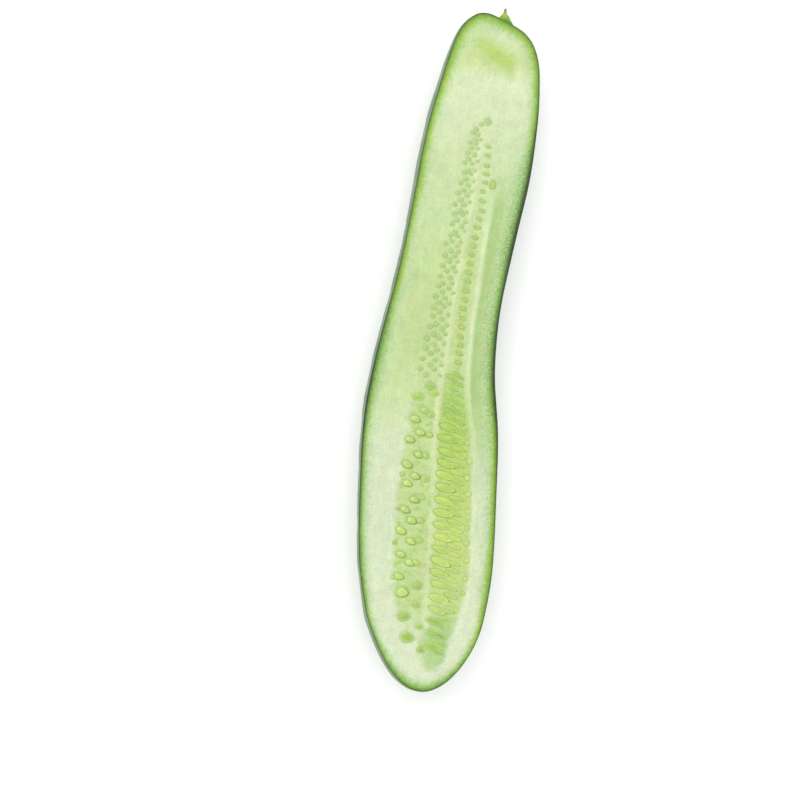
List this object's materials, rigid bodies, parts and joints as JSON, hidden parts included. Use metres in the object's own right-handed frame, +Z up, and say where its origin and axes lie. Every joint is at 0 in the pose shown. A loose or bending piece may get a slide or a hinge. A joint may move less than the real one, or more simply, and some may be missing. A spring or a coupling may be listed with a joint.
{
  "type": "japanese cucumber half",
  "caption": "Japanese cucumber cut lengthwise: a slim, gently bent half with thin dark green skin, pale juicy flesh and two bands of soft unripe seeds, and a torn stalk stub.",
  "frame": {"origin": "on the table, below the middle of the part's box", "axes": "+Y along the fruit towards the stalk end, +Z up out of the cut face, +X to the right when looking down on the cut face with the stalk end away"},
  "size_m": [0.0384, 0.182, 0.0199],
  "materials": {
    "cucumber_flesh_and_skin": "wet, translucent pale green flesh on the cut face, greener under the rind and in the seed jelly; thin waxy dark green skin below",
    "fruit_stalk": "fibrous yellow-green, drying to grey-brown at the torn tip"
  },
  "bodies": {
    "root": {"cucumber_half": "cucumber_flesh_and_skin", "stem_stub": "fruit_stalk"}
  },
  "joints": []
}
